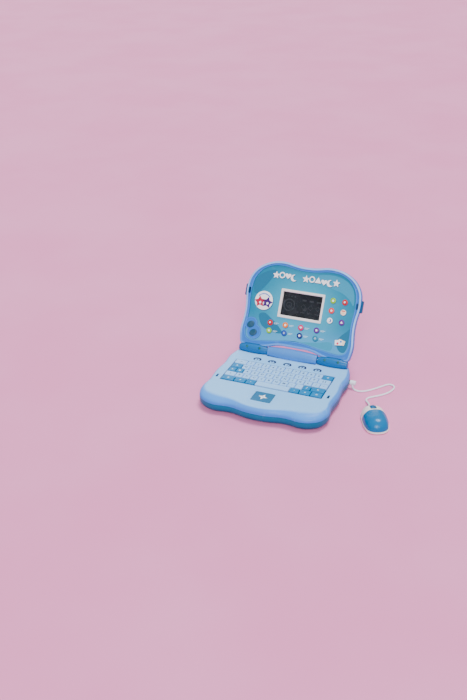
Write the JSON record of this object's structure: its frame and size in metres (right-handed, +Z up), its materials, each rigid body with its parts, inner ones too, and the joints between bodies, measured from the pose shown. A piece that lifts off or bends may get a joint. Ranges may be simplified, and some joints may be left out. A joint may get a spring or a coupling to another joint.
{
  "type": "toy laptop computer",
  "caption": "Child's toy laptop with a wavy base, full keyboard, hinged lid with a small display and printed face, carry handle barrel and a corded mouse.",
  "frame": {"origin": "on the table plane, straight below the middle of the hinge line", "axes": "+X to the user's right along the hinge line, +Y away from the user, +Z up"},
  "size_m": [0.337, 0.2787, 0.1847],
  "materials": {
    "base_light_blue": "satin moulded",
    "lower_teal_blue": "satin moulded",
    "periwinkle": "satin moulded",
    "barrel_blue": "satin moulded",
    "light_key": "fine matt, printed",
    "blue_key": "fine matt, printed",
    "touchpad_teal": "fine matt, printed",
    "printed_panel": "printed film",
    "white_plastic": "gloss moulded",
    "clear_window": "clear polished",
    "lcd_dark": "dark display",
    "oval_teal": "soft matt",
    "mouse_blue": "gloss moulded",
    "rubber_dark": "matt",
    "mat_grey": "matt",
    "cord_grey": "soft matt",
    "circuit_board": "lacquered",
    "steel": "plated",
    "cell_label": "printed sleeve",
    "speaker_black": "matt",
    "screw_green": "painted"
  },
  "bodies": {
    "base": {"bottom_shell": "lower_teal_blue", "top_cover": "base_light_blue", "aa_cells": "cell_label", "battery_contacts": "steel", "case_screws": "steel", "foot_strips": "rubber_dark", "speaker": "speaker_black", "main_board": "circuit_board", "mouse_jack": "speaker_black", "carry_handle": "lower_teal_blue", "hinge_pins": "steel", "hinge_cable": "cord_grey", "keyboard_board": "circuit_board", "key_mat": "mat_grey", "mouse_cord": "cord_grey", "mouse_plug": "cord_grey"},
    "lid": {"lid_front_frame": "periwinkle", "lid_back_shell": "periwinkle", "face_panel": "printed_panel", "lcd_bezel": "white_plastic", "lcd_window": "clear_window", "lcd_module": "lcd_dark", "lid_board": "circuit_board", "lid_screws": "steel", "hinge_barrels": "barrel_blue", "hinge_screws": "screw_green", "lid_wiring": "cord_grey", "latch_spring_right": "steel", "latch_spring_left": "steel"},
    "mouse": {"mouse_base": "white_plastic", "mouse_top_shell": "mouse_blue", "mouse_board": "circuit_board", "mouse_strain_relief": "cord_grey"},
    "battery_door": {"battery_door": "lower_teal_blue", "battery_door_screw": "steel"},
    "touchpad_button": {"touchpad_button": "touchpad_teal"},
    "oval_button_upper": {"oval_button_upper": "oval_teal"},
    "oval_button_lower": {"oval_button_lower": "oval_teal"},
    "latch_right": {"latch_right": "lower_teal_blue"},
    "latch_left": {"latch_left": "lower_teal_blue"},
    "mouse_button_left": {"mouse_button_left": "white_plastic"},
    "mouse_button_right": {"mouse_button_right": "white_plastic"},
    "mouse_wheel": {"mouse_wheel": "mouse_blue"},
    "number_keys": {"number_keys": "light_key"},
    "key_erase": {"key_erase": "blue_key"},
    "key_tab": {"key_tab": "blue_key"},
    "upper_letter_keys": {"upper_letter_keys": "light_key"},
    "key_left_a": {"key_left_a": "blue_key"},
    "key_left_b": {"key_left_b": "blue_key"},
    "middle_letter_keys": {"middle_letter_keys": "light_key"},
    "lower_letter_keys": {"lower_letter_keys": "light_key"},
    "key_right_a": {"key_right_a": "blue_key"},
    "key_right_b": {"key_right_b": "blue_key"},
    "key_bottom_1": {"key_bottom_1": "blue_key"},
    "key_bottom_2": {"key_bottom_2": "blue_key"},
    "key_bottom_3": {"key_bottom_3": "blue_key"},
    "space_bar": {"space_bar": "light_key"},
    "key_bottom_4": {"key_bottom_4": "blue_key"},
    "key_bottom_5": {"key_bottom_5": "blue_key"},
    "key_bottom_6": {"key_bottom_6": "blue_key"}
  },
  "joints": [
    {"name": "lid_hinge", "type": "hinge", "parent": "base", "child": "lid", "pos_m": [0, 0, 0.03465], "axis": [1, 0, 0], "range_deg": [-10, 118.8]},
    {"name": "latch_right_press", "type": "slide", "parent": "lid", "child": "latch_right", "axis": [-1, 0, 0], "range_m": [0, 0.0015], "stiffness_N_per_m": 400, "springref_m": -0.001, "deforming": ["latch_spring_right"]},
    {"name": "latch_left_press", "type": "slide", "parent": "lid", "child": "latch_left", "axis": [1, 0, 0], "range_m": [0, 0.0015], "stiffness_N_per_m": 400, "springref_m": -0.001, "deforming": ["latch_spring_left"]},
    {"name": "oval_upper_press", "type": "slide", "parent": "lid", "child": "oval_button_upper", "axis": [0, -0.8763, 0.4818], "range_m": [-0.0012, 0], "stiffness_N_per_m": 400, "springref_m": 0.001},
    {"name": "oval_lower_press", "type": "slide", "parent": "lid", "child": "oval_button_lower", "axis": [0, -0.8763, 0.4818], "range_m": [-0.0012, 0], "stiffness_N_per_m": 400, "springref_m": 0.001},
    {"name": "touchpad_press", "type": "slide", "parent": "base", "child": "touchpad_button", "axis": [0, 0, 1], "range_m": [-0.0008, 0], "stiffness_N_per_m": 500, "springref_m": 0.001},
    {"name": "battery_door_swing", "type": "hinge", "parent": "base", "child": "battery_door", "pos_m": [0, -0.155, 0.0026], "axis": [-1, 0, 0], "range_deg": [0, 90]},
    {"name": "mouse_glide", "type": "slide", "parent": "base", "child": "mouse", "axis": [0.4493, -0.8934, 0], "range_m": [0, 0.02]},
    {"name": "mouse_left_click", "type": "slide", "parent": "mouse", "child": "mouse_button_left", "axis": [0, 0, 1], "range_m": [-0.0005, 0], "stiffness_N_per_m": 500, "springref_m": 0.001},
    {"name": "mouse_right_click", "type": "slide", "parent": "mouse", "child": "mouse_button_right", "axis": [0, 0, 1], "range_m": [-0.0005, 0], "stiffness_N_per_m": 500, "springref_m": 0.001},
    {"name": "mouse_wheel_turn", "type": "hinge", "parent": "mouse", "child": "mouse_wheel", "pos_m": [0.18013, -0.09451, 0.0126], "axis": [0.8934, 0.4493, 0], "continuous": true},
    {"name": "number_keys_press", "type": "slide", "parent": "base", "child": "number_keys", "axis": [0, 0, 1], "range_m": [-0.0012, 0], "stiffness_N_per_m": 500, "springref_m": 0.001},
    {"name": "key_erase_press", "type": "slide", "parent": "base", "child": "key_erase", "axis": [0, 0, 1], "range_m": [-0.0012, 0], "stiffness_N_per_m": 500, "springref_m": 0.001},
    {"name": "key_tab_press", "type": "slide", "parent": "base", "child": "key_tab", "axis": [0, 0, 1], "range_m": [-0.0012, 0], "stiffness_N_per_m": 500, "springref_m": 0.001},
    {"name": "upper_letter_keys_press", "type": "slide", "parent": "base", "child": "upper_letter_keys", "axis": [0, 0, 1], "range_m": [-0.0012, 0], "stiffness_N_per_m": 500, "springref_m": 0.001},
    {"name": "key_left_a_press", "type": "slide", "parent": "base", "child": "key_left_a", "axis": [0, 0, 1], "range_m": [-0.0012, 0], "stiffness_N_per_m": 500, "springref_m": 0.001},
    {"name": "key_left_b_press", "type": "slide", "parent": "base", "child": "key_left_b", "axis": [0, 0, 1], "range_m": [-0.0012, 0], "stiffness_N_per_m": 500, "springref_m": 0.001},
    {"name": "middle_letter_keys_press", "type": "slide", "parent": "base", "child": "middle_letter_keys", "axis": [0, 0, 1], "range_m": [-0.0012, 0], "stiffness_N_per_m": 500, "springref_m": 0.001},
    {"name": "lower_letter_keys_press", "type": "slide", "parent": "base", "child": "lower_letter_keys", "axis": [0, 0, 1], "range_m": [-0.0012, 0], "stiffness_N_per_m": 500, "springref_m": 0.001},
    {"name": "key_right_a_press", "type": "slide", "parent": "base", "child": "key_right_a", "axis": [0, 0, 1], "range_m": [-0.0012, 0], "stiffness_N_per_m": 500, "springref_m": 0.001},
    {"name": "key_right_b_press", "type": "slide", "parent": "base", "child": "key_right_b", "axis": [0, 0, 1], "range_m": [-0.0012, 0], "stiffness_N_per_m": 500, "springref_m": 0.001},
    {"name": "key_bottom_1_press", "type": "slide", "parent": "base", "child": "key_bottom_1", "axis": [0, 0, 1], "range_m": [-0.0012, 0], "stiffness_N_per_m": 500, "springref_m": 0.001},
    {"name": "key_bottom_2_press", "type": "slide", "parent": "base", "child": "key_bottom_2", "axis": [0, 0, 1], "range_m": [-0.0012, 0], "stiffness_N_per_m": 500, "springref_m": 0.001},
    {"name": "key_bottom_3_press", "type": "slide", "parent": "base", "child": "key_bottom_3", "axis": [0, 0, 1], "range_m": [-0.0012, 0], "stiffness_N_per_m": 500, "springref_m": 0.001},
    {"name": "space_bar_press", "type": "slide", "parent": "base", "child": "space_bar", "axis": [0, 0, 1], "range_m": [-0.0012, 0], "stiffness_N_per_m": 500, "springref_m": 0.001},
    {"name": "key_bottom_4_press", "type": "slide", "parent": "base", "child": "key_bottom_4", "axis": [0, 0, 1], "range_m": [-0.0012, 0], "stiffness_N_per_m": 500, "springref_m": 0.001},
    {"name": "key_bottom_5_press", "type": "slide", "parent": "base", "child": "key_bottom_5", "axis": [0, 0, 1], "range_m": [-0.0012, 0], "stiffness_N_per_m": 500, "springref_m": 0.001},
    {"name": "key_bottom_6_press", "type": "slide", "parent": "base", "child": "key_bottom_6", "axis": [0, 0, 1], "range_m": [-0.0012, 0], "stiffness_N_per_m": 500, "springref_m": 0.001}
  ]
}
